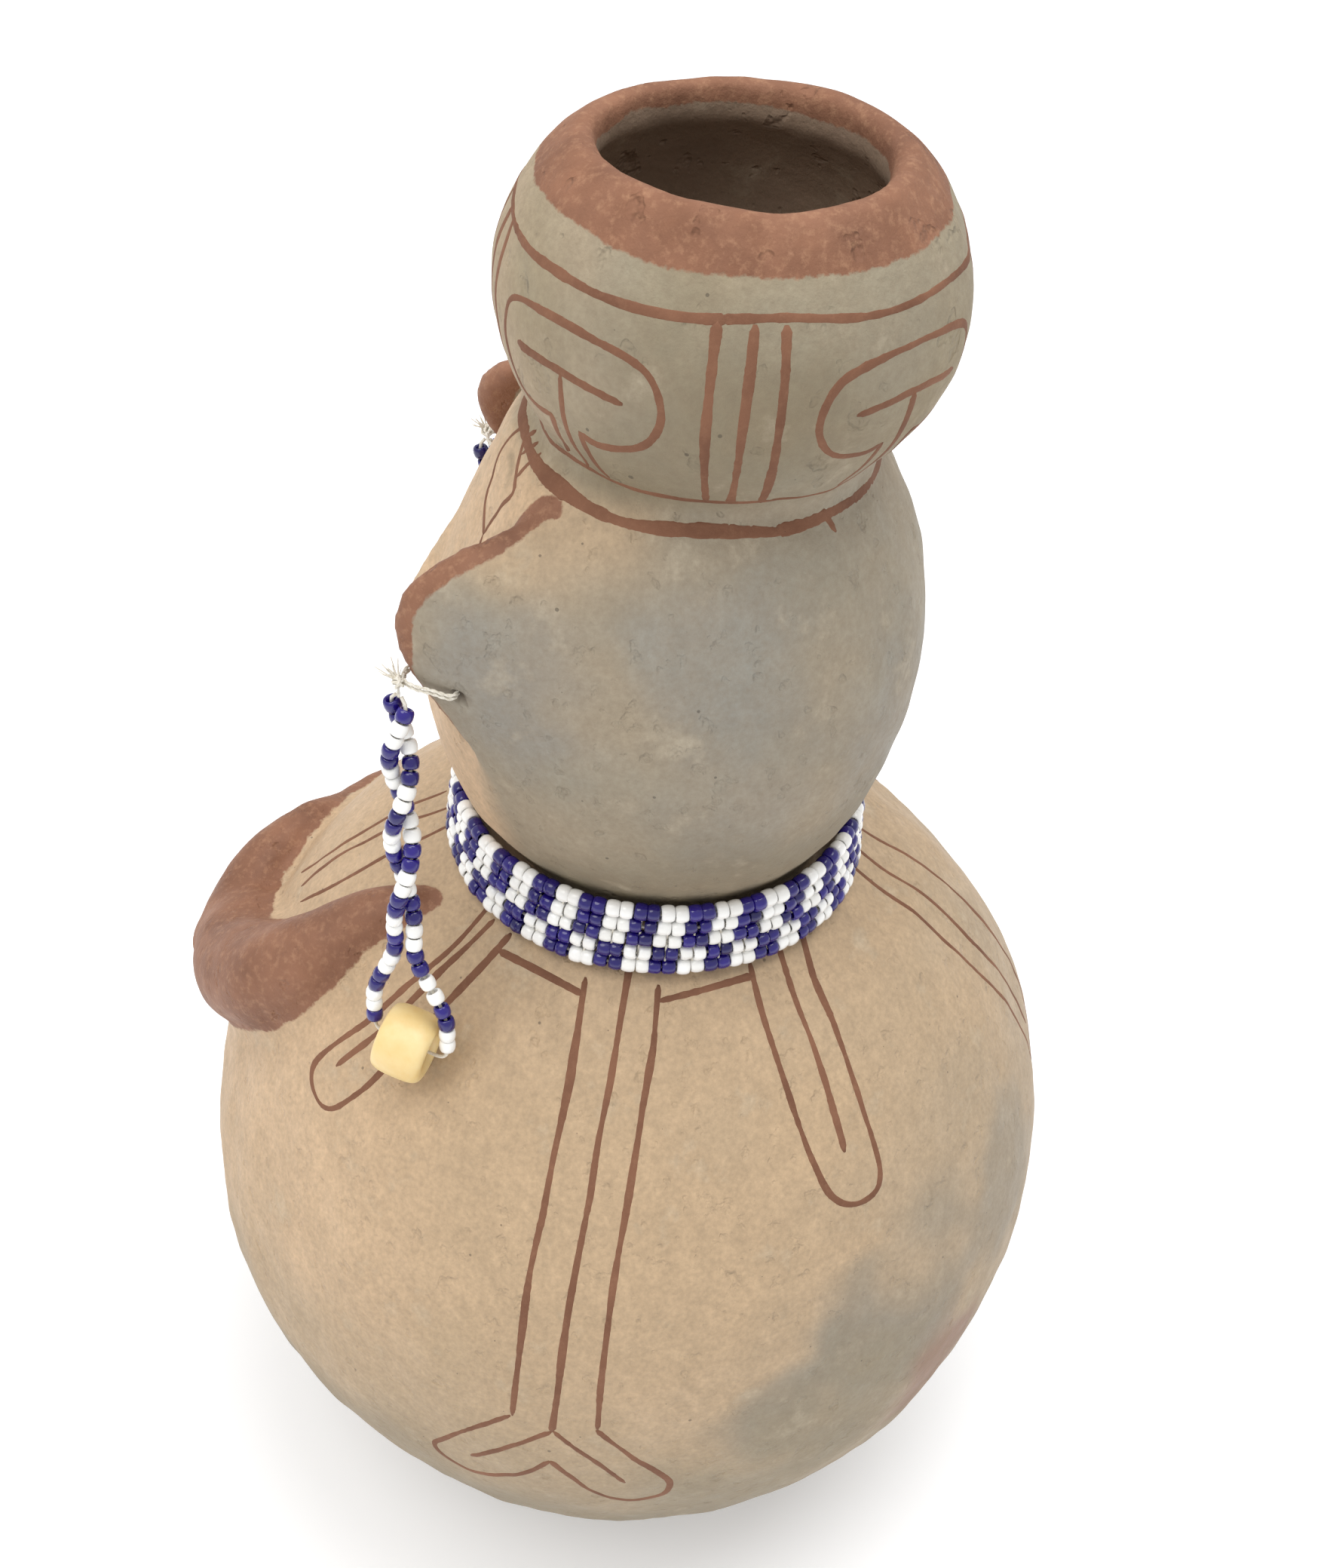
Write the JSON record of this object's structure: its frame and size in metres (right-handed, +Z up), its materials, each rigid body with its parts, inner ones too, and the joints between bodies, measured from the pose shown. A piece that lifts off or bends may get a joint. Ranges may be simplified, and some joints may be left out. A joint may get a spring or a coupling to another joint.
{
  "type": "beaded effigy jar",
  "caption": "Hollow ceramic figure jar with an open cup on its head, arms in relief, a woven bead collar and hanging bead earrings.",
  "frame": {"origin": "centre of the flat foot, on the jar's axis", "axes": "+Z up, the figure faces -Y, its left side is +X"},
  "size_m": [0.124, 0.1287, 0.2129],
  "materials": {
    "clay": "unglazed, burnished, with smoke clouds and painted slip lines",
    "slip_clay": "red-brown slip, matt",
    "white_bead": "opaque white glass, glossy",
    "blue_bead": "opaque cobalt blue glass, glossy",
    "cream_bead": "opaque cream yellow, satin",
    "thread": "waxed cotton thread"
  },
  "bodies": {
    "jar": {"body_jar": "clay", "head": "clay", "cup": "clay", "left_arm": "slip_clay", "right_arm": "slip_clay", "nose": "clay", "mouth_lips": "clay", "left_ear": "slip_clay", "right_ear": "slip_clay", "left_ear_loop": "thread", "left_ear_knot": "thread", "right_ear_loop": "thread", "right_ear_knot": "thread"},
    "collar": {"collar_row_1_white": "white_bead", "collar_row_1_blue": "blue_bead", "collar_row_2_white": "white_bead", "collar_row_2_blue": "blue_bead", "collar_row_3_white": "white_bead", "collar_row_3_blue": "blue_bead", "collar_row_4_white": "white_bead", "collar_row_4_blue": "blue_bead", "collar_row_5_white": "white_bead", "collar_row_5_blue": "blue_bead", "collar_threads": "thread"},
    "left_earring": {"left_earring_thread": "thread", "left_earring_white": "white_bead", "left_earring_blue": "blue_bead"},
    "left_pony": {"left_pony_bead": "cream_bead"},
    "right_earring": {"right_earring_thread": "thread", "right_earring_white": "white_bead", "right_earring_blue": "blue_bead"},
    "right_pony": {"right_pony_bead": "cream_bead"}
  },
  "joints": [
    {"name": "collar_turn", "type": "hinge", "parent": "jar", "child": "collar", "pos_m": [0, 0, 0.123], "axis": [0, 0, 1], "continuous": true},
    {"name": "left_earring_swing", "type": "hinge", "parent": "jar", "child": "left_earring", "pos_m": [0.0264, -0.028, 0.1592], "axis": [0, -1, 0], "range_deg": [0, 45]},
    {"name": "right_earring_swing", "type": "hinge", "parent": "jar", "child": "right_earring", "pos_m": [-0.0264, -0.028, 0.1592], "axis": [0, 1, 0], "range_deg": [0, 45]},
    {"name": "left_pony_spin", "type": "hinge", "parent": "left_earring", "child": "left_pony", "pos_m": [0.0367, -0.0259, 0.1105], "axis": [0.2225, 0.9637, -0.1478], "continuous": true},
    {"name": "right_pony_spin", "type": "hinge", "parent": "right_earring", "child": "right_pony", "pos_m": [-0.0367, -0.0259, 0.1105], "axis": [-0.2225, 0.9637, -0.1478], "continuous": true}
  ]
}
